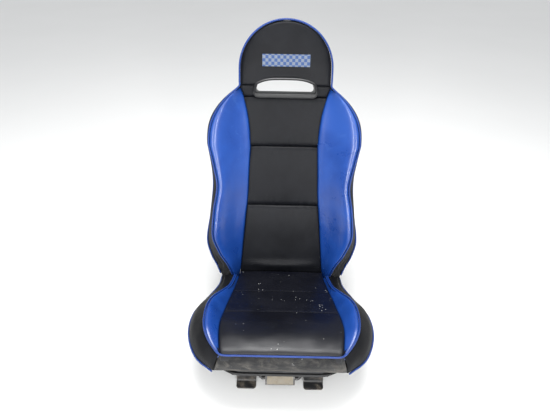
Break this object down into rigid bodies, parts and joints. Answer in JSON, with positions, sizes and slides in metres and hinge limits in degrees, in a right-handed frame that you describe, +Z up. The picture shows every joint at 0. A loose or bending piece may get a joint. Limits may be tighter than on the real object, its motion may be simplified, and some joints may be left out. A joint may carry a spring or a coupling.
{
  "type": "racing seat",
  "caption": "High-backed padded racing bucket seat with side bolsters, a slotted headrest, a fore-aft slider with adjuster handle, and a hook-in base with a rear latch.",
  "frame": {"origin": "middle of the footprint, on the floor that the base stands on, with the slider at its rearmost stop", "axes": "+X to the right of someone facing the seat's front, +Y towards the back of the seat, +Z up"},
  "size_m": [0.5812, 0.722, 0.9771],
  "materials": {
    "blue_vinyl": "gloss",
    "black_vinyl": "satin",
    "blue_piping": "gloss",
    "foam": "matte",
    "patch_fabric": "matte",
    "moulded_plastic": "satin",
    "bezel_plastic": "satin",
    "black_steel": "satin",
    "zinc_steel": "satin",
    "spring_steel": "satin",
    "nylon": "satin",
    "blank_label": "matte"
  },
  "bodies": {
    "base": {"lower_rail_left": "zinc_steel", "lower_rail_right": "zinc_steel", "front_cross_member": "black_steel", "rear_cross_member": "black_steel", "floor_hook_left": "black_steel", "floor_hook_right": "black_steel", "end_flange_left": "black_steel", "end_flange_right": "black_steel", "latch_ear_left": "black_steel", "latch_ear_right": "black_steel", "latch_pin": "zinc_steel", "latch_spring": "spring_steel"},
    "seat": {"back_shell": "moulded_plastic", "back_frame_hoop": "black_steel", "back_panel_lower": "black_vinyl", "back_panel_middle": "black_vinyl", "back_panel_upper": "black_vinyl", "back_piping_front": "blue_piping", "back_piping_outer_left": "blue_piping", "back_piping_outer_right": "blue_piping", "back_bolster_left": "blue_vinyl", "back_bolster_right": "blue_vinyl", "back_gusset_left": "black_vinyl", "back_gusset_right": "black_vinyl", "headrest_pad": "black_vinyl", "neck_strip": "black_vinyl", "headrest_patch": "patch_fabric", "back_foam": "foam", "slot_bezel_front": "bezel_plastic", "slot_bezel_rear": "bezel_plastic", "cushion_panel_front": "black_vinyl", "cushion_panel_middle": "black_vinyl", "cushion_panel_rear": "black_vinyl", "cushion_piping_top": "blue_piping", "cushion_piping_outer_left": "blue_piping", "cushion_piping_outer_right": "blue_piping", "cushion_gusset_front": "black_vinyl", "cushion_gusset_left": "black_vinyl", "cushion_gusset_right": "black_vinyl", "cushion_bolster_left": "blue_vinyl", "cushion_bolster_right": "blue_vinyl", "cushion_pan": "moulded_plastic", "cushion_foam": "foam", "frame_side_plate_left": "black_steel", "frame_side_plate_right": "black_steel", "seat_bolt_front_left": "zinc_steel", "seat_bolt_front_right": "zinc_steel", "seat_bolt_rear_left": "zinc_steel", "seat_bolt_rear_right": "zinc_steel", "upper_rail_left": "zinc_steel", "upper_rail_right": "zinc_steel", "handle_pin_left": "zinc_steel", "handle_pin_right": "zinc_steel"},
    "cage_left": {"roller_cage_left": "nylon"},
    "cage_right": {"roller_cage_right": "nylon"},
    "adjuster": {"adjuster_bar": "black_steel", "adjuster_grip": "black_steel", "blank_label": "blank_label"},
    "latch": {"latch_lever": "black_steel"}
  },
  "joints": [
    {"name": "seat_slide", "type": "slide", "parent": "base", "child": "seat", "axis": [0, -1, 0], "range_m": [0, 0.11]},
    {"name": "cage_left_slide", "type": "slide", "parent": "base", "child": "cage_left", "axis": [0, -1, 0], "range_m": [0, 0.055]},
    {"name": "cage_right_slide", "type": "slide", "parent": "base", "child": "cage_right", "axis": [0, -1, 0], "range_m": [0, 0.055]},
    {"name": "adjuster_hinge", "type": "hinge", "parent": "seat", "child": "adjuster", "pos_m": [0, -0.1963, 0.07], "axis": [-1, 0, 0], "range_deg": [0, 9], "stiffness_Nm_per_rad": 2, "springref_deg": -14.32},
    {"name": "latch_hinge", "type": "hinge", "parent": "base", "child": "latch", "pos_m": [0, 0.1697, 0.03], "axis": [1, 0, 0], "range_deg": [0, 20], "stiffness_Nm_per_rad": 0.6, "springref_deg": -17.19}
  ],
  "couplings": [
    {"joint": "cage_left_slide", "follows": "seat_slide", "ratio": 0.5},
    {"joint": "cage_right_slide", "follows": "seat_slide", "ratio": 0.5}
  ]
}
